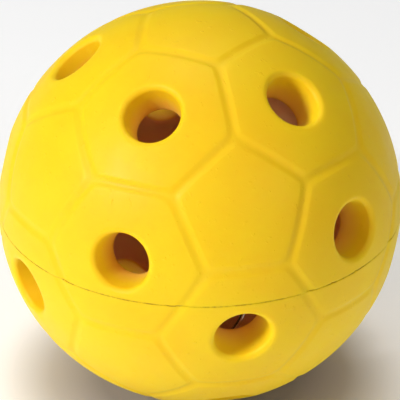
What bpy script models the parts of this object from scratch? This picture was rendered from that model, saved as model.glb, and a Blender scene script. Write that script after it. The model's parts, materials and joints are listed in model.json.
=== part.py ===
"""A bell ball: a thick rubber ball with a football's panels and a hole in each six-sided one.

Two moulded half shells are bonded at the equator. A pressed-steel bell lies loose in the
hollow: a dome and a slotted cup crimped together, a wire loop, and a steel pellet inside.
Everything is in metres. The origin is the ball's centre, +Z points at one five-sided panel,
and -Y is the front, where another five-sided panel faces slightly upwards.
"""

import math

import bmesh
import bpy
from mathutils import Matrix, Vector

# Ball
BALL_RADIUS = 0.080
CAVITY_RADIUS = 0.0644
BOND_GAP = 0.0003
GROOVE_WIDTH = 0.0046
GROOVE_DEPTH = 0.0011

# Holes: a slightly tapered tube with a rounded mouth and a small radius inside
HOLE_RADIUS_OUTSIDE = 0.0109
HOLE_RADIUS_INSIDE = 0.0092
MOUTH_ROUNDING = 0.0020
INNER_ROUNDING = 0.0014

# Bell: pressed from sheet, its dome's edge crimped round the cup's flange
BELL_RADIUS = 0.018
SHEET = 0.0008
PLAY = 0.0003
FLANGE_WIDTH = 0.0010
SLOT_WIDTH = 0.0026
SLOT_END_RADIUS = 0.0029
SLOT_REACH = math.radians(54)

# The bell's wire loop
WIRE_RADIUS = 0.0007
STRAND_OFFSET = WIRE_RADIUS + PLAY / 2
EYE_RADIUS = 0.0030
LEG_REACH = 0.0045
LEG_SHARES = (1, 0.7, 0.4)
BEND_OUT = 0.0002
BEND_RISE = 0.0008
LOOP_HOLE_RADIUS = STRAND_OFFSET + WIRE_RADIUS + PLAY

# The pellet that rings the bell
PELLET_RADIUS = 0.0040
PELLET_CLEARANCE = 0.0004

# How the bell lies: on its dome, its rim and its loop, with the slots turned up to the front
BELL_CLEARANCE = 0.0014
BELL_DEPTH = CAVITY_RADIUS - BELL_RADIUS - BELL_CLEARANCE
LOOP_FROM_DOWN = math.radians(60)
LOOP_HEADING = math.radians(180)

# Facets
EDGE_STEPS = 3
ROUNDING_STEPS = 2
FILLED_PANEL_RING = 0.5
BELL_STEPS_ROUND = 32
BELL_STEPS_DOWN = 7
SLOT_END_STEPS = 16
WIRE_STEPS_ROUND = 8
EYE_STEPS = 7
PELLET_STEPS_ROUND = 16
PELLET_STEPS_DOWN = 10

# The cosine of the angle between neighbouring corners of an icosahedron
NEIGHBOUR_COSINE = 1 / math.sqrt(5)


# ---------------------------------------------------------------- scene and materials


def clear_scene():
    for obj in list(bpy.data.objects):
        bpy.data.objects.remove(obj, do_unlink=True)


def material(name, colour, roughness, metallic):
    made = bpy.data.materials.new(name)
    made.use_nodes = True
    shader = made.node_tree.nodes["Principled BSDF"]
    shader.inputs["Base Color"].default_value = (*colour, 1)
    shader.inputs["Roughness"].default_value = roughness
    shader.inputs["Metallic"].default_value = metallic
    made.diffuse_color = (*colour, 1)
    return made


def add_object(name, mesh, finish, parent=None):
    obj = bpy.data.objects.new(name, mesh)
    bpy.context.scene.collection.objects.link(obj)
    if finish:
        mesh.materials.append(finish)
    obj.parent = parent
    return obj


def add_empty(name, parent=None, location=(0, 0, 0)):
    empty = bpy.data.objects.new(name, None)
    empty.empty_display_size = BELL_RADIUS
    bpy.context.scene.collection.objects.link(empty)
    empty.parent = parent
    empty.location = location
    return empty


def mesh_from(bm, name, sharp_angle=math.radians(30)):
    mesh = bpy.data.meshes.new(name)
    bm.to_mesh(mesh)
    bm.free()
    mesh.shade_smooth()
    mesh.set_sharp_from_angle(angle=sharp_angle)
    return mesh


# ---------------------------------------------------------------- panel pattern


def icosahedron_corners():
    """Unit directions: one up, one down, and two rings of five. The upper ring starts at -Y."""
    height = 1 / math.sqrt(5)
    reach = 2 / math.sqrt(5)
    corners = [Vector((0, 0, 1)), Vector((0, 0, -1))]
    for step in range(5):
        upper = math.radians(72 * step)
        lower = math.radians(72 * step + 36)
        corners.append(Vector((reach * math.sin(upper), -reach * math.cos(upper), height)))
        corners.append(Vector((reach * math.sin(lower), -reach * math.cos(lower), -height)))
    return corners


def neighbours(corner, corners):
    """The five nearest corners, anticlockwise seen from outside."""
    near = [other for other in corners if math.isclose(corner.dot(other), NEIGHBOUR_COSINE, abs_tol=0.01)]
    side = (near[0] - corner * near[0].dot(corner)).normalized()
    ahead = corner.cross(side)
    return sorted(near, key=lambda other: math.atan2(other.dot(ahead), other.dot(side)))


def panels():
    """(centre, corners, whether it has a hole) of the 12 five-sided and 20 six-sided panels."""
    corners = icosahedron_corners()
    found = []
    for corner in corners:
        ring = neighbours(corner, corners)
        cut = [(2 * corner + other).normalized() for other in ring]
        found.append((corner, cut, False))
        for second, third in zip(ring, ring[1:] + ring[:1]):
            face = (corner, second, third)
            if corners.index(corner) != min(corners.index(each) for each in face):
                continue
            centre = (corner + second + third).normalized()
            cut = []
            for start, end in zip(face, face[1:] + face[:1]):
                cut.append((2 * start + end).normalized())
                cut.append((start + 2 * end).normalized())
            found.append((centre, cut, True))
    return found


def outline(corners):
    """Directions along a panel's edge, each side cut into EDGE_STEPS arcs."""
    directions = []
    for start, end in zip(corners, corners[1:] + corners[:1]):
        for step in range(EDGE_STEPS):
            directions.append(start.slerp(end, step / EDGE_STEPS))
    return directions


def edge_distance(centre, corners):
    """The angle from a panel's centre to the middle of its side."""
    return centre.angle((corners[0] + corners[1]).normalized())


# ---------------------------------------------------------------- shell


def add_ring(bm, points):
    return [bm.verts.new(point) for point in points]


def join_rings(bm, rings):
    for outer, inner in zip(rings, rings[1:]):
        for index, corner in enumerate(outer):
            following = (index + 1) % len(outer)
            bm.faces.new((corner, outer[following], inner[following], inner[index]))


def fill_ring(bm, ring, point):
    centre = bm.verts.new(point)
    for index, corner in enumerate(ring):
        bm.faces.new((corner, ring[(index + 1) % len(ring)], centre))


def on_sphere(directions, centre, share, radius):
    """Points of the outline drawn in by a share of the way to the panel's centre."""
    return [direction.slerp(centre, share) * radius for direction in directions]


def round_hole(directions, centre, radius, height):
    """A circle about the hole's axis, with a point in line with each point of the outline."""
    circle = []
    for direction in directions:
        outward = (direction - centre * direction.dot(centre)).normalized()
        circle.append(centre * height + outward * radius)
    return circle


def height_on_sphere(sphere_radius, circle_radius):
    return math.sqrt(sphere_radius**2 - circle_radius**2)


def hole_profile():
    """(radius, height) of the circles from the mouth's outer edge, down the tube, to the hollow."""
    mouth = HOLE_RADIUS_OUTSIDE + MOUTH_ROUNDING
    top = height_on_sphere(BALL_RADIUS, mouth)
    low = HOLE_RADIUS_INSIDE + INNER_ROUNDING
    bottom = height_on_sphere(CAVITY_RADIUS, low)
    profile = [(mouth, top)]
    for step in range(1, ROUNDING_STEPS + 1):
        turn = math.pi / 2 * step / ROUNDING_STEPS
        radius = mouth - MOUTH_ROUNDING * math.sin(turn)
        profile.append((radius, top - MOUTH_ROUNDING * (1 - math.cos(turn))))
    profile.append((HOLE_RADIUS_INSIDE, bottom + INNER_ROUNDING))
    profile.append((low, bottom))
    return profile


def halfway(first, second, radius):
    return [(a.normalized() + b.normalized()).normalized() * radius for a, b in zip(first, second)]


def add_panel(bm, centre, corners, has_hole):
    directions = outline(corners)
    rim_share = GROOVE_WIDTH / 2 / (BALL_RADIUS * edge_distance(centre, corners))
    groove = on_sphere(directions, centre, 0, BALL_RADIUS - GROOVE_DEPTH)
    rim = on_sphere(directions, centre, rim_share, BALL_RADIUS)
    lining = on_sphere(directions, centre, 0, CAVITY_RADIUS)
    if has_hole:
        circles = [round_hole(directions, centre, *circle) for circle in hole_profile()]
        face = halfway(rim, circles[0], BALL_RADIUS)
        back = halfway(circles[-1], lining, CAVITY_RADIUS)
        rings = [groove, rim, face, *circles, back, lining]
        join_rings(bm, [add_ring(bm, points) for points in rings])
        return
    face = on_sphere(directions, centre, FILLED_PANEL_RING, BALL_RADIUS)
    outer = [add_ring(bm, points) for points in (groove, rim, face)]
    join_rings(bm, outer)
    fill_ring(bm, outer[-1], centre * BALL_RADIUS)
    back = on_sphere(directions, centre, FILLED_PANEL_RING, CAVITY_RADIUS)
    inner = [add_ring(bm, points[::-1]) for points in (lining, back)]
    join_rings(bm, inner)
    fill_ring(bm, inner[-1], centre * CAVITY_RADIUS)


def whole_shell():
    bm = bmesh.new()
    for centre, corners, has_hole in panels():
        add_panel(bm, centre, corners, has_hole)
    bmesh.ops.remove_doubles(bm, verts=bm.verts, dist=1e-6)
    return bm


def half_shell(name, side, finish):
    """The shell on one side of the equator: side is 1 for the upper half, -1 for the lower."""
    bm = whole_shell()
    cut = bmesh.ops.bisect_plane(
        bm,
        geom=bm.verts[:] + bm.edges[:] + bm.faces[:],
        plane_co=(0, 0, side * BOND_GAP / 2),
        plane_no=(0, 0, side),
        clear_inner=True,
    )
    edges = [each for each in cut["geom_cut"] if isinstance(each, bmesh.types.BMEdge)]
    bmesh.ops.triangle_fill(bm, use_beauty=True, edges=edges, normal=(0, 0, -side))
    bmesh.ops.recalc_face_normals(bm, faces=bm.faces)
    return add_object(name, mesh_from(bm, name), finish)


# ---------------------------------------------------------------- bell


def turned(name, profile, steps=BELL_STEPS_ROUND):
    """A closed outline of (radius, height), anticlockwise with the axis at its left, spun about Z.

    An outline that ends on the axis closes there in a point.
    """
    bm = bmesh.new()
    rings = []
    for radius, height in profile:
        turns = [2 * math.pi * step / steps for step in range(steps)] if radius else [0]
        rings.append([bm.verts.new((radius * math.cos(t), radius * math.sin(t), height)) for t in turns])
    pairs = list(zip(rings, rings[1:]))
    if profile[0][0]:
        pairs.append((rings[-1], rings[0]))
    for low, high in pairs:
        for step in range(steps):
            after = (step + 1) % steps
            corners = [low[step % len(low)], low[after % len(low)]]
            corners += [high[after % len(high)], high[step % len(high)]]
            bm.faces.new(list(dict.fromkeys(corners)))
    return mesh_from(bm, name)


def arc(radius, start, end, steps=BELL_STEPS_DOWN):
    """(radius, height) points on a sphere, between two angles from the pole at +Z."""
    angles = [start + (end - start) * step / steps for step in range(steps + 1)]
    return [(radius * math.sin(angle), radius * math.cos(angle)) for angle in angles]


def angle_at_height(radius, height):
    return math.acos(height / radius)


def dome_profile():
    """The dome, and its edge turned out over the cup's flange, down past it and in below it."""
    inner = BELL_RADIUS - SHEET
    under = PLAY / 2
    curl = BELL_RADIUS + FLANGE_WIDTH + PLAY
    lip = -under - SHEET - PLAY
    lip_end = BELL_RADIUS + FLANGE_WIDTH / 2
    outside = arc(
        BELL_RADIUS,
        angle_at_height(BELL_RADIUS, under + SHEET),
        math.asin(LOOP_HOLE_RADIUS / BELL_RADIUS),
    )
    inside = arc(inner, math.asin(LOOP_HOLE_RADIUS / inner), angle_at_height(inner, under))
    crimp = [
        (curl, under),
        (curl, lip),
        (lip_end, lip),
        (lip_end, lip - SHEET),
        (curl + SHEET / 2, lip - SHEET),
        (curl + SHEET, lip - SHEET / 2),
        (curl + SHEET, under + SHEET / 2),
        (curl + SHEET / 2, under + SHEET),
    ]
    return inside + crimp + outside


def cup_profile():
    """The cup, open upwards, with a flat flange round its rim."""
    inner = BELL_RADIUS - SHEET
    top = -PLAY / 2
    flange = BELL_RADIUS + FLANGE_WIDTH
    outside = arc(BELL_RADIUS, math.pi, angle_at_height(BELL_RADIUS, top - SHEET))
    inside = arc(inner, angle_at_height(inner, top), math.pi)
    outside[0] = (0, -BELL_RADIUS)
    inside[-1] = (0, -inner)
    return outside + [(flange, top - SHEET), (flange, top)] + inside


def cutter(name, mesh, parent, placement):
    obj = add_object(name, mesh, None, parent)
    obj.matrix_local = placement
    obj.hide_render = True
    obj.display_type = "WIRE"
    return obj


def cut_away(target, tool):
    boolean = target.modifiers.new(tool.name, "BOOLEAN")
    boolean.operation = "DIFFERENCE"
    boolean.solver = "EXACT"
    boolean.object = tool


def slot_mesh():
    """A bar across the cup's foot, SLOT_WIDTH wide, that reaches up to where the slot ends."""
    length = 2 * BELL_RADIUS * math.sin(SLOT_REACH)
    height = BELL_RADIUS
    bm = bmesh.new()
    bmesh.ops.create_cube(bm, size=1)
    bmesh.ops.scale(bm, vec=(length, SLOT_WIDTH, height), verts=bm.verts)
    middle = -BELL_RADIUS * math.cos(SLOT_REACH) - height / 2 + SHEET
    bmesh.ops.translate(bm, vec=(0, 0, middle), verts=bm.verts)
    return mesh_from(bm, "slot")


def slot_end_mesh():
    """A pin at the bell's pole, longer than the sheet is thick, that cuts a slot's round end."""
    radius = SLOT_END_RADIUS
    depth = 6 * SHEET
    bm = bmesh.new()
    bmesh.ops.create_cone(
        bm, cap_ends=True, segments=SLOT_END_STEPS, radius1=radius, radius2=radius, depth=depth
    )
    bmesh.ops.translate(bm, vec=(0, 0, BELL_RADIUS - SHEET / 2), verts=bm.verts)
    return mesh_from(bm, "slot_end")


def add_cup(finish, parent):
    """The cup, with two slots that cross at its foot and end in round holes."""
    cup = add_object("bell_cup", turned("bell_cup", cup_profile()), finish, parent)
    slot = slot_mesh()
    slot_end = slot_end_mesh()
    for number in range(2):
        turn = Matrix.Rotation(math.radians(90 * number), 4, "Z")
        cut_away(cup, cutter(f"slot_cutter_{number}", slot, parent, turn))
    for number in range(4):
        turn = Matrix.Rotation(math.radians(90 * number), 4, "Z")
        tilt = Matrix.Rotation(math.pi - SLOT_REACH, 4, "Y")
        cut_away(cup, cutter(f"slot_end_cutter_{number}", slot_end, parent, turn @ tilt))
    return cup


def loop_path():
    """The wire's centreline in the XZ plane: a leg under the dome, up, round the eye, and down."""
    leg_radius = BELL_RADIUS - SHEET - PLAY - WIRE_RADIUS
    neck = BELL_RADIUS + WIRE_RADIUS
    opening = math.asin(STRAND_OFFSET / EYE_RADIUS)
    eye_height = neck + EYE_RADIUS * math.cos(opening)
    half = []
    for share in LEG_SHARES:
        reach = LEG_REACH * share
        half.append((-reach, height_on_sphere(leg_radius, reach)))
    half.append((-STRAND_OFFSET - BEND_OUT, leg_radius + BEND_OUT))
    half.append((-STRAND_OFFSET, leg_radius + BEND_RISE))
    for step in range(EYE_STEPS + 1):
        turn = opening + (math.pi - opening) * step / EYE_STEPS
        half.append((-EYE_RADIUS * math.sin(turn), eye_height - EYE_RADIUS * math.cos(turn)))
    other = [(-across, up) for across, up in half[-2::-1]]
    return half + other


def add_loop(finish, parent):
    curve = bpy.data.curves.new("bell_loop", "CURVE")
    curve.dimensions = "3D"
    curve.bevel_depth = WIRE_RADIUS
    curve.bevel_resolution = WIRE_STEPS_ROUND // 4
    curve.use_fill_caps = True
    path = loop_path()
    spline = curve.splines.new("POLY")
    spline.points.add(len(path) - 1)
    for point, (across, up) in zip(spline.points, path):
        point.co = (across, 0, up, 1)
    return add_object("bell_loop", curve, finish, parent)


def add_pellet(finish, parent):
    bm = bmesh.new()
    bmesh.ops.create_uvsphere(
        bm, u_segments=PELLET_STEPS_ROUND, v_segments=PELLET_STEPS_DOWN, radius=PELLET_RADIUS
    )
    return add_object("bell_pellet", mesh_from(bm, "bell_pellet"), finish, parent)


def add_bell():
    """The bell, low in the hollow. It rolls about the ball's centre, and the pellet about the bell's."""
    plated = material("plated_steel", (0.78, 0.74, 0.70), 0.18, 1.0)
    wire = material("bell_wire", (0.70, 0.68, 0.66), 0.28, 1.0)
    steel = material("pellet_steel", (0.62, 0.62, 0.63), 0.25, 1.0)
    roll_axis = add_empty("bell_roll_axis")
    bell_centre = add_empty("bell_centre", roll_axis, (0, 0, -BELL_DEPTH))
    lie = Matrix.Rotation(LOOP_HEADING, 4, "Z") @ Matrix.Rotation(math.pi - LOOP_FROM_DOWN, 4, "X")
    bell = add_empty("bell_lie", bell_centre)
    bell.matrix_local = lie
    add_object("bell_dome", turned("bell_dome", dome_profile()), plated, bell)
    add_cup(plated, bell)
    add_loop(wire, bell)
    pellet_axis = add_empty("pellet_axis", bell_centre)
    pellet = add_pellet(steel, pellet_axis)
    inner = BELL_RADIUS - SHEET
    pellet.location = (0, 0, -(inner - PELLET_RADIUS - PELLET_CLEARANCE))


def main():
    clear_scene()
    rubber = material("yellow_rubber", (0.92, 0.60, 0.02), 0.55, 0.0)
    half_shell("upper_shell", 1, rubber)
    half_shell("lower_shell", -1, rubber)
    add_bell()


main()
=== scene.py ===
"""The looks of the bell ball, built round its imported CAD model.

The two half shells are remade as dense meshes with the panel grooves, rounded hole mouths and the
parting line in their shape. The bell's four pieces are remade at the CAD's sizes, finer, and with
the crimped edge rolled round.
"""

import json
import math

import bmesh
import bpy
import numpy as np
from mathutils import Matrix, Quaternion, Vector, noise


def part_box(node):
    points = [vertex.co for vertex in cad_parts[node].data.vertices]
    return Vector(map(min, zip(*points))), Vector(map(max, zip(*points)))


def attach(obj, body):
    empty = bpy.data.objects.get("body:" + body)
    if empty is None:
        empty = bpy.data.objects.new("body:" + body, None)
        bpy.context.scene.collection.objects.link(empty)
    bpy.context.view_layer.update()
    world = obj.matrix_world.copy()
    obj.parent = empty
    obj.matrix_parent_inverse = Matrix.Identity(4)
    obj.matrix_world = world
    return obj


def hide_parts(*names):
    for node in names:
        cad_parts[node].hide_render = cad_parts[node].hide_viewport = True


# Sizes in metres, as in the CAD model, but the two roundings are 0.1 and 0.2 mm larger
BALL_DIAMETER = 0.160
HOLLOW_RADIUS = 0.0644
TUBE_RADIUS_OUTSIDE = 0.0109
TUBE_RADIUS_INSIDE = 0.0092
MOUTH_ROUNDING = 0.0021
INNER_ROUNDING = 0.0016
BELL_RADIUS = 0.018
SHEET = 0.0008
PLAY = 0.0003
FLANGE_WIDTH = 0.0010
SLOT_WIDTH = 0.0026
SLOT_END_RADIUS = 0.0029
SLOT_REACH = math.radians(54)
WIRE_RADIUS = 0.0007
STRAND_OFFSET = WIRE_RADIUS + PLAY / 2
EYE_RADIUS = 0.0030
LEG_REACH = 0.0045
LEG_START_SHARE = 0.4
LOOP_HOLE_RADIUS = STRAND_OFFSET + WIRE_RADIUS + PLAY
PELLET_RADIUS = 0.0040

# The dome's edge: how far its lip ends outside the cup's wall, and its step up to the dome
CRIMP_OVERLAP = 0.0003
CRIMP_STEP = 0.0004

# Where the loop's wire bends in under the dome: (outwards, up) from the foot of a strand
STRAND_BEND = ((0.0004, 0.00005), (0.0001, 0.0003), (0, 0.0008))

# Relief of the rubber
GROOVE_HALF_WIDTH = 0.0030
GROOVE_DEPTH = 0.0006
CORNER_SOFTNESS = 0.0009
UNEVENNESS = 0.00007
UNEVENNESS_SIZE = 0.022
LINING_MARGIN = 0.001

# Parting line: its edge is rounded, wavy and nicked, and the mesh is cut finer at its levels
PARTING_ROUNDING = 0.00034
PARTING_REACH = 0.0012
PARTING_LEVELS = (0.00012, 0.00028, 0.0005, 0.0009)
WAVE_DENSITY = 9
WAVE_SHARE = 0.45
NICK_DENSITY = 31
NICK_THRESHOLD = 0.22
NICK_GROWTH = 4.5
NICK_SHIFT = Vector((5, 0, 0))

# How the lower half is bonded askew: its turn about Z, and its slip down as a share of the radius
LOWER_TURN = math.radians(-1.1)
LOWER_SLIP = 0.0150

# Holes moulded a little off their panels' centres: (latitude, azimuth, up, right) in degrees
HOLES_OFF_CENTRE = (
    (10.8, 36, 1.2, 0.3),
    (52.6, 36, 0.4, -1.3),
    (52.6, -108, -0.5, 1.0),
)

# Mesh density of the shell
EDGE_STEPS = 26
GROOVE_RINGS = 9
FACE_RINGS = 12
ROUNDING_RINGS = 9
TUBE_RINGS = 7
LINING_RINGS = 7

# Mesh density of the bell
BELL_STEPS_ROUND = 144
DOME_STEPS = 26
CUP_STEPS = 40
CRIMP_STEPS = 16
SLOT_END_STEPS = 48
LEG_POINTS = 5
EYE_POINTS = 20
WIRE_RESOLUTION = 6
PELLET_SUBDIVISIONS = 5

# Edges sharper than these are shaded sharp
SHELL_SHARP_ANGLE = math.radians(60)
METAL_SHARP_ANGLE = math.radians(40)

# The cosine of the angle between neighbouring corners of an icosahedron
NEIGHBOUR_COSINE = 1 / math.sqrt(5)

# Rubber: its tones, with painted shade for the deep hole walls and the parting line, and painted
# bounced light for the lining
YELLOW = (0.96, 0.625, 0.009, 1)
DEEPER_YELLOW = (0.93, 0.58, 0.007, 1)
SCUFFED_YELLOW = (0.94, 0.64, 0.03, 1)
# Painted shade: the browner, redder tone deep in the hole walls stands in for the dim light there
PAINTED_SHADE_WALL_TONE = (0.98, 0.50, 0.07, 1)
# Painted bounced light: the pinkish tone of the hollow's lining stands in for the reddish light
# inside the hollow
PAINTED_BOUNCE_LIGHT_LINING_TONE = (1.0, 0.52, 0.24, 1)
# Painted shade: the dark tone along the parting line stands in for the shade in its crease
PARTING_PAINTED_SHADE_TONE = (0.52, 0.24, 0.004, 1)

# Rubber: the distances from the ball's centre between which its look changes
PAINTED_SHADE_WALL_FADE = (0.0650, 0.0745)
PAINTED_BOUNCE_LIGHT_LINING_FADE = (0.0646, 0.0652)
DULLING_FADE = (0.068, 0.077)
OUTER_SKIN = (0.0775, 0.0785)

# Rubber: how far from the parting line the painted shade fades out, and how deep light goes in
PARTING_PAINTED_SHADE_FADE = (0.00015, 0.00045)
TRANSLUCENCY_RADIUS = (1.0, 0.95, 0.5)
TRANSLUCENCY_SCALE = 0.002

# Metals: a bright and a tarnished tone each
NICKEL = (0.80, 0.76, 0.71, 1)
TARNISHED_NICKEL = (0.55, 0.50, 0.45, 1)
WIRE_NICKEL = (0.74, 0.71, 0.67, 1)
TARNISHED_WIRE = (0.50, 0.47, 0.43, 1)
STEEL = (0.60, 0.60, 0.61, 1)
TARNISHED_STEEL = (0.42, 0.41, 0.40, 1)

# Floor: tones, a painted shadow and a painted glow, and the distances from the ball's foot where
# they change
FLOOR_SIZE = 6
FLOOR_TONE = (0.90, 0.90, 0.90, 1)
FLOOR_LIGHTER_TONE = (0.92, 0.92, 0.92, 1)
# Painted shadow: the floor's tone under the ball
PAINTED_SHADOW_UNDER_BALL = (0.34, 0.32, 0.30, 1)
PAINTED_SHADOW_FADE = (0.040, 0.080)
# Painted light: the floor's glow, full round the ball, dimmer far off, nearly dark under the ball
# as painted shadow
GLOW = (1, 1, 1, 1)
GLOW_FAR_OFF = (0.3, 0.3, 0.3, 1)
GLOW_PAINTED_SHADOW = (0.05, 0.05, 0.05, 1)
GLOW_NEAR_FADE = (0.060, 0.085)
GLOW_FAR_FADE = (0.5, 1.0)
GLOW_STRENGTH = 0.2

# Camera: azimuth is from the front, -Y, and positive to the right. Shares are of the frame's width.
CAMERA_AZIMUTH = math.radians(-13.61)
CAMERA_ELEVATION = math.radians(29.72)
CAMERA_ROLL = math.radians(0.37)
CAMERA_DISTANCE = 1.247
CAMERA_SHIFT_SHARES = (0.00075, 0.0045)
BALL_RADIUS_SHARE = 0.504
SENSOR_WIDTH = 36.0
FARTHEST_SEEN = 20

# Lights: name, azimuth and elevation in degrees, distance, size and power
LIGHTS = (
    ("key", -68, 32, 1.6, 0.35, 20.0),
    ("overhead", -20, 82, 1.6, 1.2, 1.8),
    ("camera_fill", -14, 32, 2.2, 1.0, 1.6),
    ("right_fill", 30, 32, 1.8, 1.0, 5.3),
    ("back_fill", 175, 68, 1.6, 0.9, 6.0),
)
ROOM_LIGHT = 0.14


# ---------------------------------------------------------------- pieces


def smooth_mesh(bm, name, sharp_angle=METAL_SHARP_ANGLE):
    """The finished mesh of a bmesh, shaded smooth except at its sharp edges."""
    mesh = bpy.data.meshes.new(name)
    bm.to_mesh(mesh)
    bm.free()
    mesh.shade_smooth()
    mesh.set_sharp_from_angle(angle=sharp_angle)
    return mesh


def add_piece(name, data, finish, placement=None):
    """Links a new object with its material: a piece of the ball, or the floor."""
    piece = bpy.data.objects.new(name, data)
    bpy.context.scene.collection.objects.link(piece)
    if placement is not None:
        piece.matrix_world = placement
    data.materials.append(finish)
    return piece


# ---------------------------------------------------------------- panel pattern


def direction(azimuth, elevation):
    """A unit vector from the ball: azimuth from the front, positive to the right."""
    return Vector(
        (
            math.sin(azimuth) * math.cos(elevation),
            -math.cos(azimuth) * math.cos(elevation),
            math.sin(elevation),
        )
    )


def unit(vectors):
    return vectors / np.linalg.norm(vectors, axis=-1, keepdims=True)


def icosahedron_corners():
    """Unit directions: one up, one down, and two rings of five. The upper ring starts at -Y."""
    height = 1 / math.sqrt(5)
    reach = 2 / math.sqrt(5)
    corners = [(0, 0, 1), (0, 0, -1)]
    for step in range(5):
        upper = math.radians(72 * step)
        lower = math.radians(72 * step + 36)
        corners.append((reach * math.sin(upper), -reach * math.cos(upper), height))
        corners.append((reach * math.sin(lower), -reach * math.cos(lower), -height))
    return np.array(corners)


def neighbours(corner, corners):
    """The numbers of the five nearest corners, anticlockwise seen from outside."""
    cosines = corners @ corner
    near = [index for index, cosine in enumerate(cosines) if math.isclose(cosine, NEIGHBOUR_COSINE)]
    side = unit(corners[near[0]] - corner * (corners[near[0]] @ corner))
    ahead = np.cross(corner, side)
    return sorted(near, key=lambda i: math.atan2(corners[i] @ ahead, corners[i] @ side))


def panels():
    """(centre, corners, whether it has a hole) of the 12 five-sided and 20 six-sided panels."""
    corners = icosahedron_corners()
    found = []
    for index, corner in enumerate(corners):
        ring = neighbours(corner, corners)
        found.append((corner, unit((2 * corner + corners[ring]) / 3), False))
        for second, third in zip(ring, ring[1:] + ring[:1]):
            if index != min(index, second, third):
                continue
            face = corners[[index, second, third]]
            after = np.roll(face, -1, axis=0)
            cut = np.stack([2 * face + after, face + 2 * after], axis=1).reshape(6, 3)
            found.append((unit(face.sum(axis=0)), unit(cut), True))
    return found


def along_arcs(start, end, share):
    """Points part of the way along the great circles from start to end."""
    angle = np.arccos(np.clip((start * end).sum(axis=-1, keepdims=True), -1, 1))
    return (np.sin((1 - share) * angle) * start + np.sin(share * angle) * end) / np.sin(angle)


def hole_centre(centre):
    """The direction of a hole's middle: the panel's centre, or a little off it."""
    for latitude, azimuth, up, right in HOLES_OFF_CENTRE:
        if direction(math.radians(azimuth), math.radians(latitude)).dot(centre) > 0.999:
            return np.array(direction(math.radians(azimuth + right), math.radians(latitude + up)))
    return centre


def outline(corners):
    """Directions along a panel's edge, each side cut into EDGE_STEPS arcs."""
    shares = (np.arange(EDGE_STEPS) / EDGE_STEPS)[:, None]
    ends = np.roll(corners, -1, axis=0)
    sides = [along_arcs(start[None], end[None], shares) for start, end in zip(corners, ends)]
    return np.concatenate(sides)


# ---------------------------------------------------------------- rubber shell


def groove_share(directions, corners, ball_radius):
    """How deep the groove is at each direction, from 0 on the panel's face to 1 on its edge."""
    normals = unit(np.cross(corners, np.roll(corners, -1, axis=0)))
    distances = np.arcsin(np.clip(directions @ normals.T, -1, 1)) * ball_radius
    soft = -CORNER_SOFTNESS * np.log(np.exp(-distances / CORNER_SOFTNESS).sum(axis=1))
    share = np.clip(soft / GROOVE_HALF_WIDTH, 0, 1)
    return (1 + np.cos(math.pi * share)) / 2


def hole_circles(ball_radius):
    """(radius, height) of the circles from the mouth's outer edge, down the tube, to the hollow."""
    mouth = TUBE_RADIUS_OUTSIDE + MOUTH_ROUNDING
    top = math.sqrt(ball_radius**2 - mouth**2)
    slope = math.asin(mouth / ball_radius)
    low = TUBE_RADIUS_INSIDE + INNER_ROUNDING
    bottom = math.sqrt(HOLLOW_RADIUS**2 - low**2)
    circles = []
    for turn in np.linspace(slope, math.pi / 2, ROUNDING_RINGS + 1):
        radius = mouth - MOUTH_ROUNDING * (math.sin(turn) - math.sin(slope)) / (1 - math.sin(slope))
        circles.append((radius, top - MOUTH_ROUNDING * (math.cos(slope) - math.cos(turn))))
    start = circles[-1][1]
    end = bottom + INNER_ROUNDING
    for share in np.linspace(0, 1, TUBE_RINGS + 1)[1:]:
        taper = TUBE_RADIUS_INSIDE - TUBE_RADIUS_OUTSIDE
        circles.append((TUBE_RADIUS_OUTSIDE + taper * share, start + (end - start) * share))
    for turn in np.linspace(0, math.pi / 2, ROUNDING_RINGS // 2 + 1)[1:]:
        radius = TUBE_RADIUS_INSIDE + INNER_ROUNDING * (1 - math.cos(turn))
        circles.append((radius, end - INNER_ROUNDING * math.sin(turn)))
    return circles


def hole_rings(directions, centre, ball_radius):
    """The hole's circles, each with a point in line with each point of the panel's outline."""
    outward = unit(directions - centre * (directions @ centre)[:, None])
    return [centre * height + outward * radius for radius, height in hole_circles(ball_radius)]


def panel_rings(centre, corners, has_hole, ball_radius):
    """Lists of rings of points, each list one strip of surface, facing outwards in order."""
    directions = outline(corners)
    middle = unit(corners[0] + corners[1])
    inradius = math.acos(middle @ centre) * ball_radius
    rim = GROOVE_HALF_WIDTH / inradius
    shares = [rim * ring / GROOVE_RINGS for ring in range(GROOVE_RINGS + 1)]
    outer = [along_arcs(directions, centre, share) for share in shares]
    if has_hole:
        circles = hole_rings(directions, hole_centre(centre), ball_radius)
        target = unit(circles[0])
        last = FACE_RINGS
    else:
        circles = []
        target = np.broadcast_to(centre, directions.shape)
        last = FACE_RINGS - 1
    start = outer[-1]
    outer += [along_arcs(start, target, ring / FACE_RINGS) for ring in range(1, last + 1)]
    depth = [GROOVE_DEPTH * groove_share(ring, corners, ball_radius)[:, None] for ring in outer]
    strip = [ring * (ball_radius - cut) for ring, cut in zip(outer, depth)]
    steps = [ring / LINING_RINGS for ring in range(LINING_RINGS + 1)]
    if has_hole:
        back = unit(circles[-1])
        lining = [along_arcs(back, directions, share) * HOLLOW_RADIUS for share in steps[1:]]
        return [strip + circles[1:] + lining]
    lining = [along_arcs(directions[::-1], centre, share) * HOLLOW_RADIUS for share in steps[:-1]]
    return [strip, lining]


def ring_faces(first, count, rings):
    """Four-sided faces between rings of count points, numbered on from first."""
    steps = np.arange(count)
    after = (steps + 1) % count
    faces = []
    for ring in range(rings - 1):
        low = first + ring * count
        high = low + count
        faces.append(np.stack([low + steps, low + after, high + after, high + steps], axis=1))
    return np.concatenate(faces)


def bonded_askew(points):
    """The lower half's points, turned and slipped down a little against the upper half's."""
    radii = np.linalg.norm(points, axis=1, keepdims=True)
    slipped = points / radii - (0, 0, LOWER_SLIP)
    turn = np.array(Matrix.Rotation(LOWER_TURN, 3, "Z"))
    return unit(slipped) * radii @ turn.T


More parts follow.
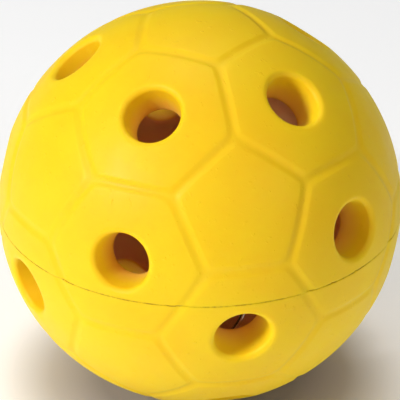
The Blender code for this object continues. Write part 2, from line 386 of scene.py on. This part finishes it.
def whole_shell(ball_radius, askew):
    """The ball's rubber as one mesh, its panels joined along their edges."""
    points, faces, total = [], [], 0
    for centre, corners, has_hole in panels():
        for strip in panel_rings(centre, corners, has_hole, ball_radius):
            count = len(strip[0])
            points += strip
            faces += ring_faces(total, count, len(strip)).tolist()
            total += count * len(strip)
            if has_hole:
                continue
            last = total - count
            points.append((centre * np.linalg.norm(strip[-1][0]))[None])
            faces += [[last + step, last + (step + 1) % count, total] for step in range(count)]
            total += 1
    points = np.concatenate(points)
    if askew:
        points = bonded_askew(points)
    mesh = bpy.data.meshes.new("shell")
    mesh.from_pydata(points.tolist(), [], faces)
    bm = bmesh.new()
    bm.from_mesh(mesh)
    bpy.data.meshes.remove(mesh)
    bmesh.ops.remove_doubles(bm, verts=bm.verts, dist=1e-6)
    return bm


def slice_level(bm, height, side=None):
    """Cuts new edges at a height. With a side, what lies below it on that side is removed."""
    return bmesh.ops.bisect_plane(
        bm,
        geom=bm.verts[:] + bm.edges[:] + bm.faces[:],
        dist=1e-7,
        plane_co=(0, 0, height),
        plane_no=(0, 0, side or 1),
        clear_inner=side is not None,
    )


def parting_rounding(azimuth):
    """The radius of the edge at the parting line, larger at the small nicks left by trimming."""
    place = Vector((math.cos(azimuth), math.sin(azimuth), 0))
    wave = noise.noise(place * WAVE_DENSITY)
    nick = max(0.0, noise.noise(place * NICK_DENSITY + NICK_SHIFT) - NICK_THRESHOLD)
    return PARTING_ROUNDING * (1 + WAVE_SHARE * wave + NICK_GROWTH * nick)


def shape_vertex(point, ball_radius):
    """Rounds the parting edge and makes the rubber a little uneven."""
    radius = point.length
    if radius < HOLLOW_RADIUS + LINING_MARGIN:
        return point
    uneven = noise.noise(point / UNEVENNESS_SIZE) * UNEVENNESS
    drop = 0.0
    outside = radius > ball_radius - 2 * GROOVE_DEPTH
    if outside and abs(point.z) < PARTING_REACH:
        edge = parting_rounding(math.atan2(point.x, -point.y))
        if abs(point.z) < edge:
            drop = edge - math.sqrt(edge**2 - (edge - abs(point.z)) ** 2)
    return point * ((radius - abs(uneven) - drop) / radius)


def half_shell(name, side, ball_radius, node, finish):
    """The shell on one side of the parting line: side is 1 for the upper half, -1 for the lower."""
    bm = whole_shell(ball_radius, side < 0)
    for level in PARTING_LEVELS:
        slice_level(bm, side * level)
    cut = slice_level(bm, 0, side)
    edges = [each for each in cut["geom_cut"] if isinstance(each, bmesh.types.BMEdge)]
    bmesh.ops.triangle_fill(bm, use_beauty=True, edges=edges, normal=(0, 0, -side))
    for vert in bm.verts:
        vert.co = shape_vertex(vert.co, ball_radius)
    piece = add_piece(name, smooth_mesh(bm, name, SHELL_SHARP_ANGLE), finish)
    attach(piece, "ball")
    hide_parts(node)


# ---------------------------------------------------------------- bell


def turned(name, profile, steps=BELL_STEPS_ROUND):
    """A closed outline of (radius, height), anticlockwise with the axis at its left, spun about Z.

    An outline that ends on the axis closes there in a point.
    """
    bm = bmesh.new()
    rings = []
    for radius, height in profile:
        turns = [2 * math.pi * step / steps for step in range(steps)] if radius else [0]
        ring = [(radius * math.cos(turn), radius * math.sin(turn), height) for turn in turns]
        rings.append([bm.verts.new(point) for point in ring])
    pairs = list(zip(rings, rings[1:]))
    if profile[0][0]:
        pairs.append((rings[-1], rings[0]))
    for low, high in pairs:
        for step in range(steps):
            after = (step + 1) % steps
            corners = [low[step % len(low)], low[after % len(low)]]
            corners += [high[after % len(high)], high[step % len(high)]]
            bm.faces.new(list(dict.fromkeys(corners)))
    return smooth_mesh(bm, name)


def arc(centre, radius, start, end, steps):
    """(radius, height) points on a circle about centre, between two angles from straight up."""
    angles = np.linspace(start, end, steps + 1)
    return [(centre[0] + radius * math.sin(a), centre[1] + radius * math.cos(a)) for a in angles]


def dome_mesh():
    """The dome, and its edge curled over the cup's flange, down past it and in below it."""
    inner = BELL_RADIUS - SHEET
    under = PLAY / 2
    top = under + SHEET
    channel = BELL_RADIUS + FLANGE_WIDTH + PLAY
    lip = -under - SHEET - PLAY
    roll = (top - lip + SHEET) / 2
    roll_centre = (channel + SHEET - roll, top - roll)
    hole = LOOP_HOLE_RADIUS
    inside = arc((0, 0), inner, math.asin(hole / inner), math.acos(under / inner), DOME_STEPS)
    crimp = [(channel, under), (channel, lip), (BELL_RADIUS + CRIMP_OVERLAP, lip)]
    crimp += arc(roll_centre, roll, math.pi, 0, CRIMP_STEPS)
    foot = math.acos((top + CRIMP_STEP) / BELL_RADIUS)
    outside = arc((0, 0), BELL_RADIUS, foot, math.asin(hole / BELL_RADIUS), DOME_STEPS)
    return turned("bell_dome_fine", inside + crimp + outside)


def cup_mesh():
    """The cup, open upwards, with a flat flange round its rim."""
    inner = BELL_RADIUS - SHEET
    top = -PLAY / 2
    flange = BELL_RADIUS + FLANGE_WIDTH
    brim = math.acos((top - SHEET) / BELL_RADIUS)
    outside = arc((0, 0), BELL_RADIUS, math.pi, brim, CUP_STEPS)
    inside = arc((0, 0), inner, math.acos(top / inner), math.pi, CUP_STEPS)
    outside[0] = (0, -BELL_RADIUS)
    inside[-1] = (0, -inner)
    return turned("bell_cup_fine", outside + [(flange, top - SHEET), (flange, top)] + inside)


def add_cutter(name, mesh, placement, target):
    """Cuts the mesh away from the target with a Boolean, and gives the object that holds it."""
    tool = bpy.data.objects.new(name, mesh)
    bpy.context.scene.collection.objects.link(tool)
    tool.matrix_world = placement
    boolean = target.modifiers.new(name, "BOOLEAN")
    boolean.operation = "DIFFERENCE"
    boolean.solver = "EXACT"
    boolean.object = tool
    return tool


def slot_mesh():
    """A bar across the cup's foot, SLOT_WIDTH wide, that reaches up to where the slot ends."""
    length = 2 * BELL_RADIUS * math.sin(SLOT_REACH)
    height = BELL_RADIUS
    bm = bmesh.new()
    bmesh.ops.create_cube(bm, size=1)
    bmesh.ops.scale(bm, vec=(length, SLOT_WIDTH, height), verts=bm.verts)
    middle = -BELL_RADIUS * math.cos(SLOT_REACH) - height / 2 + SHEET
    bmesh.ops.translate(bm, vec=(0, 0, middle), verts=bm.verts)
    return smooth_mesh(bm, "slot")


def slot_end_mesh():
    """A pin at the bell's pole, longer than the sheet is thick, that cuts a slot's round end."""
    radius = SLOT_END_RADIUS
    depth = 6 * SHEET
    bm = bmesh.new()
    bmesh.ops.create_cone(
        bm, cap_ends=True, segments=SLOT_END_STEPS, radius1=radius, radius2=radius, depth=depth
    )
    bmesh.ops.translate(bm, vec=(0, 0, BELL_RADIUS - SHEET / 2), verts=bm.verts)
    return smooth_mesh(bm, "slot_end")


def cut_slots(cup, placement):
    """Two slots that cross at the cup's foot and end in round holes, kept as plain mesh."""
    tools = []
    for number in range(2):
        turn = Matrix.Rotation(math.radians(90 * number), 4, "Z")
        tools.append(add_cutter(f"slot_{number}", slot_mesh(), placement @ turn, cup))
    for number in range(4):
        turn = Matrix.Rotation(math.radians(90 * number), 4, "Z")
        tilt = Matrix.Rotation(math.pi - SLOT_REACH, 4, "Y")
        lie = placement @ turn @ tilt
        tools.append(add_cutter(f"slot_end_{number}", slot_end_mesh(), lie, cup))
    bpy.context.view_layer.update()
    evaluated = cup.evaluated_get(bpy.context.evaluated_depsgraph_get())
    mesh = bpy.data.meshes.new_from_object(evaluated)
    cup.modifiers.clear()
    cup.data = mesh
    for tool in tools:
        bpy.data.objects.remove(tool)
    mesh.shade_smooth()
    mesh.set_sharp_from_angle(angle=METAL_SHARP_ANGLE)


def loop_path():
    """The wire's centreline in the XZ plane: a leg under the dome, up, round the eye, and down."""
    leg_radius = BELL_RADIUS - SHEET - PLAY - WIRE_RADIUS
    neck = BELL_RADIUS + WIRE_RADIUS
    opening = math.asin(STRAND_OFFSET / EYE_RADIUS)
    eye_height = neck + EYE_RADIUS * math.cos(opening)
    half = []
    for share in np.linspace(1, LEG_START_SHARE, LEG_POINTS):
        reach = LEG_REACH * share
        half.append((-reach, math.sqrt(leg_radius**2 - reach**2)))
    for outwards, up in STRAND_BEND:
        half.append((-STRAND_OFFSET - outwards, leg_radius + up))
    for turn in np.linspace(opening, math.pi, EYE_POINTS):
        half.append((-EYE_RADIUS * math.sin(turn), eye_height - EYE_RADIUS * math.cos(turn)))
    other = [(-across, up) for across, up in half[-2::-1]]
    return half + other


def loop_curve():
    curve = bpy.data.curves.new("bell_loop_fine", "CURVE")
    curve.dimensions = "3D"
    curve.bevel_depth = WIRE_RADIUS
    curve.bevel_resolution = WIRE_RESOLUTION
    curve.use_fill_caps = True
    path = loop_path()
    spline = curve.splines.new("POLY")
    spline.points.add(len(path) - 1)
    for point, (across, up) in zip(spline.points, path):
        point.co = (across, 0, up, 1)
    spline.use_smooth = True
    return curve


def pellet_mesh():
    bm = bmesh.new()
    bmesh.ops.create_icosphere(bm, subdivisions=PELLET_SUBDIVISIONS, radius=PELLET_RADIUS)
    return smooth_mesh(bm, "bell_pellet_fine")


def bell_placement(frame):
    """The bell's own axes: its centre is the pellet's joint, and its +Z points to its loop."""
    pellet_joint = next(joint for joint in frame["joints"] if joint["child"] == "pellet")
    centre = Vector(pellet_joint["pos_m"])
    low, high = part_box("bell_loop")
    up = ((low + high) / 2 - centre).normalized()
    across = Vector((-1, 0, 0))
    ahead = up.cross(across)
    turn = Matrix((across, ahead, up)).transposed().to_4x4()
    return Matrix.Translation(centre) @ turn


def add_bell(frame, plated, wire, steel):
    """The bell's three pressed and bent pieces, and the pellet that rolls inside them."""
    placement = bell_placement(frame)
    dome = add_piece("bell_dome_pressing", dome_mesh(), plated, placement)
    cup = add_piece("bell_cup_pressing", cup_mesh(), plated, placement)
    cut_slots(cup, placement)
    loop = add_piece("bell_wire_loop", loop_curve(), wire, placement)
    low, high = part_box("bell_pellet")
    middle = Matrix.Translation((low + high) / 2)
    pellet = add_piece("bell_steel_pellet", pellet_mesh(), steel, middle)
    made = (
        (dome, "bell", "bell_dome", "plated_steel"),
        (cup, "bell", "bell_cup", "plated_steel"),
        (loop, "bell", "bell_loop", "bell_wire"),
        (pellet, "pellet", "bell_pellet", "pellet_steel"),
    )
    for piece, body, node, slot in made:
        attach(piece, body)
        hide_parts(node)


# ---------------------------------------------------------------- materials


class Nodes:
    """A small helper to add and join shader nodes."""

    def __init__(self, name):
        self.material = bpy.data.materials.new(name)
        self.material.use_nodes = True
        self.tree = self.material.node_tree
        self.shader = self.tree.nodes["Principled BSDF"]
        self.place = self.add("ShaderNodeTexCoord").outputs["Object"]

    def add(self, kind, **settings):
        node = self.tree.nodes.new(kind)
        for name, value in settings.items():
            setattr(node, name, value)
        return node

    def join(self, output, target):
        self.tree.links.new(output, target)

    def give(self, value, target):
        """Sets a socket to a number or a colour, or joins another node's output to it."""
        if isinstance(value, (int, float, tuple)):
            target.default_value = value
        else:
            self.join(value, target)

    def noise(self, size, detail=3.0, roughness=0.5, stretch=None):
        """Noise whose features are about size metres across."""
        node = self.add("ShaderNodeTexNoise")
        node.inputs["Scale"].default_value = 1 / size
        node.inputs["Detail"].default_value = detail
        node.inputs["Roughness"].default_value = roughness
        place = self.place
        if stretch:
            mapping = self.add("ShaderNodeMapping")
            mapping.inputs["Scale"].default_value = stretch
            self.join(place, mapping.inputs["Vector"])
            place = mapping.outputs["Vector"]
        self.join(place, node.inputs["Vector"])
        return node.outputs["Fac"]

    def distance(self):
        """How far a point is from the piece's origin."""
        node = self.add("ShaderNodeVectorMath", operation="LENGTH")
        self.join(self.place, node.inputs[0])
        return node.outputs["Value"]

    def height(self):
        """How far a point is above or below the piece's origin."""
        split = self.add("ShaderNodeSeparateXYZ")
        self.join(self.place, split.inputs["Vector"])
        node = self.add("ShaderNodeMath", operation="ABSOLUTE")
        self.join(split.outputs["Z"], node.inputs[0])
        return node.outputs["Value"]

    def ramp(self, value, low, high, start=0.0, end=1.0):
        """Maps value from low..high to start..end, and holds it there outside."""
        node = self.add("ShaderNodeMapRange")
        node.inputs["From Min"].default_value = low
        node.inputs["From Max"].default_value = high
        node.inputs["To Min"].default_value = start
        node.inputs["To Max"].default_value = end
        self.join(value, node.inputs["Value"])
        return node.outputs["Result"]

    def mix(self, share, first, second):
        node = self.add("ShaderNodeMix", data_type="RGBA")
        for value, socket in ((share, "Factor"), (first, "A"), (second, "B")):
            self.give(value, node.inputs[socket])
        return node.outputs["Result"]

    def maths(self, operation, first, second):
        node = self.add("ShaderNodeMath", operation=operation)
        self.give(first, node.inputs[0])
        self.give(second, node.inputs[1])
        return node.outputs["Value"]

    def bump(self, height, distance, strength=1.0, under=None):
        """Relief that stands distance metres high where height is 1, on top of another's."""
        node = self.add("ShaderNodeBump")
        node.inputs["Strength"].default_value = strength
        node.inputs["Distance"].default_value = distance
        self.join(height, node.inputs["Height"])
        if under:
            self.join(under, node.inputs["Normal"])
        return node.outputs["Normal"]


def rubber_material():
    """Moulded yellow rubber: satin, grained, scuffed and translucent, with painted shade deep in
    the hole walls and along the parting line, and painted bounced light on the lining.
    """
    n = Nodes("yellow_rubber_fine")
    shader = n.shader
    mottle = n.ramp(n.noise(0.035, 3), 0.35, 0.65)
    colour = n.mix(mottle, YELLOW, DEEPER_YELLOW)
    scuff = n.ramp(n.noise(0.009, 6, 0.65), 0.60, 0.80, 0.0, 0.35)
    colour = n.mix(scuff, colour, SCUFFED_YELLOW)
    out = n.distance()
    # Painted shade: deeper in the hole walls the yellow turns browner and redder
    colour = n.mix(n.ramp(out, *PAINTED_SHADE_WALL_FADE, 1, 0), colour, PAINTED_SHADE_WALL_TONE)
    # Painted bounced light: the hollow's lining takes a pinkish tone
    colour = n.mix(n.ramp(out, *PAINTED_BOUNCE_LIGHT_LINING_FADE, 1, 0), colour, PAINTED_BOUNCE_LIGHT_LINING_TONE)
    patchy = n.ramp(n.noise(0.005, 4, 0.65), 0.42, 0.58, 0.1, 1.0)
    # Painted shade: a patchy dark tone along the parting line, on the outer skin only
    parting_shade = n.maths("MULTIPLY", n.ramp(n.height(), *PARTING_PAINTED_SHADE_FADE, 0.75, 0.0), patchy)
    parting_shade = n.maths("MULTIPLY", parting_shade, n.ramp(out, *OUTER_SKIN))
    colour = n.mix(parting_shade, colour, PARTING_PAINTED_SHADE_TONE)
    n.join(colour, shader.inputs["Base Color"])
    satin = n.ramp(n.noise(0.012, 5, 0.6), 0.3, 0.7, 0.44, 0.58)
    duller_inside = n.ramp(out, *DULLING_FADE, 0.3, 0)
    n.join(n.maths("ADD", satin, duller_inside), shader.inputs["Roughness"])
    grain = n.bump(n.noise(0.0006, 4, 0.6), 0.00003, 0.6)
    specks = n.ramp(n.noise(0.0022, 2, 0.4), 0.66, 0.76)
    specked = n.bump(specks, 0.00012, 0.8, grain)
    n.join(n.bump(n.noise(0.006, 3), 0.00012, 0.35, specked), shader.inputs["Normal"])
    shader.inputs["Specular IOR Level"].default_value = 0.2
    shader.inputs["Subsurface Weight"].default_value = 1.0
    shader.inputs["Subsurface Radius"].default_value = TRANSLUCENCY_RADIUS
    shader.inputs["Subsurface Scale"].default_value = TRANSLUCENCY_SCALE
    return n.material


def metal_material(name, bright, tarnished, roughness, brush):
    """Steel with tarnish, small dents and fine scratches, squeezed along each axis by brush."""
    n = Nodes(name)
    shader = n.shader
    shader.inputs["Metallic"].default_value = 1.0
    tarnish = n.ramp(n.noise(0.006, 5, 0.6), 0.42, 0.68)
    n.join(n.mix(tarnish, bright, tarnished), shader.inputs["Base Color"])
    rubbed = n.ramp(n.noise(0.0012, 6, 0.65), 0.35, 0.65, roughness, roughness * 1.9)
    n.join(rubbed, shader.inputs["Roughness"])
    scratches = n.noise(0.0009, 3, 0.5, brush)
    fine = n.bump(scratches, 0.000012, 0.5)
    n.join(n.bump(n.noise(0.0035, 2), 0.00006, 0.35, fine), shader.inputs["Normal"])
    return n.material


def floor_material():
    """A pale table top that glows as painted light, brightest round the ball and nearly dark under
    it, with a painted shadow where the ball rests.
    """
    n = Nodes("pale_floor_painted_light")
    colour = n.mix(n.ramp(n.noise(0.3, 2), 0.3, 0.7), FLOOR_TONE, FLOOR_LIGHTER_TONE)
    out = n.distance()
    # Painted shadow: the floor is darker where the ball rests
    colour = n.mix(n.ramp(out, *PAINTED_SHADOW_FADE), PAINTED_SHADOW_UNDER_BALL, colour)
    n.join(colour, n.shader.inputs["Base Color"])
    n.shader.inputs["Roughness"].default_value = 0.7
    # Painted light: the floor glows, brightest in a ring round the ball, dimmer far off, and nearly
    # dark under it as painted shadow
    glow = n.mix(n.ramp(out, *GLOW_FAR_FADE), GLOW, GLOW_FAR_OFF)
    glow = n.mix(n.ramp(out, *GLOW_NEAR_FADE), GLOW_PAINTED_SHADOW, glow)
    n.join(glow, n.shader.inputs["Emission Color"])
    n.shader.inputs["Emission Strength"].default_value = GLOW_STRENGTH
    return n.material


# ---------------------------------------------------------------- studio


def add_camera(ball_radius):
    """A camera that faces the ball's centre, with a lens that makes the ball fill its share."""
    data = bpy.data.cameras.new("camera")
    camera = bpy.data.objects.new("camera", data)
    bpy.context.scene.collection.objects.link(camera)
    back = direction(CAMERA_AZIMUTH, CAMERA_ELEVATION)
    camera.location = back * CAMERA_DISTANCE
    camera.rotation_mode = "QUATERNION"
    roll = Quaternion(-back, -CAMERA_ROLL)
    camera.rotation_quaternion = roll @ (-back).to_track_quat("-Z", "Y")
    # A ball's outline is wider than its radius by distance / sqrt(distance^2 - radius^2).
    reach = math.sqrt((CAMERA_DISTANCE / ball_radius) ** 2 - 1)
    data.sensor_width = SENSOR_WIDTH
    data.lens = SENSOR_WIDTH * BALL_RADIUS_SHARE * reach
    data.shift_x, data.shift_y = CAMERA_SHIFT_SHARES
    data.clip_end = FARTHEST_SEEN
    bpy.context.scene.camera = camera


def add_area_light(name, azimuth, elevation, distance, size, power):
    """A round white light that faces the ball's centre."""
    data = bpy.data.lights.new(name, "AREA")
    data.shape = "DISK"
    data.size = size
    data.energy = power
    light = bpy.data.objects.new(name, data)
    bpy.context.scene.collection.objects.link(light)
    out = direction(math.radians(azimuth), math.radians(elevation))
    light.location = out * distance
    light.rotation_mode = "QUATERNION"
    light.rotation_quaternion = (-out).to_track_quat("-Z", "Y")


def add_studio(ball_radius):
    """The floor under the ball, the lights and the even light of the room."""
    bm = bmesh.new()
    bmesh.ops.create_grid(bm, x_segments=1, y_segments=1, size=FLOOR_SIZE)
    floor = add_piece("floor", smooth_mesh(bm, "floor"), floor_material())
    floor.location.z = -ball_radius
    for light in LIGHTS:
        add_area_light(*light)
    world = bpy.data.worlds.new("studio")
    bpy.context.scene.world = world
    world.use_nodes = True
    background = world.node_tree.nodes["Background"]
    background.inputs["Color"].default_value = (1, 1, 1, 1)
    background.inputs["Strength"].default_value = ROOM_LIGHT
    bpy.context.scene.view_settings.view_transform = "Standard"


# ---------------------------------------------------------------- the scene

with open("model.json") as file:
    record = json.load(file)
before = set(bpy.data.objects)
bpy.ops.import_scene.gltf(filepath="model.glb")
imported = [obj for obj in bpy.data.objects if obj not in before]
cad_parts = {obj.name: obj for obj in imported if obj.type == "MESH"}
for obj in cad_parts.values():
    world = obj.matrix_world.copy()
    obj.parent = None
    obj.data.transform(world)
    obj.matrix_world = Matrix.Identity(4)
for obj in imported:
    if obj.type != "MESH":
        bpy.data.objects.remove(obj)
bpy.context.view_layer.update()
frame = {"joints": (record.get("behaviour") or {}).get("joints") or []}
radius = BALL_DIAMETER / 2

add_camera(radius)
add_studio(radius)
rubber = rubber_material()
half_shell("upper_rubber_half", 1, radius, "upper_shell", rubber)
half_shell("lower_rubber_half", -1, radius, "lower_shell", rubber)
add_bell(
    frame,
    metal_material("nickel_plate", NICKEL, TARNISHED_NICKEL, roughness=0.13, brush=(1, 1, 6)),
    metal_material("nickel_wire", WIRE_NICKEL, TARNISHED_WIRE, roughness=0.2, brush=(1, 5, 1)),
    metal_material("pellet_steel_fine", STEEL, TARNISHED_STEEL, roughness=0.25, brush=(1, 1, 1)),
)
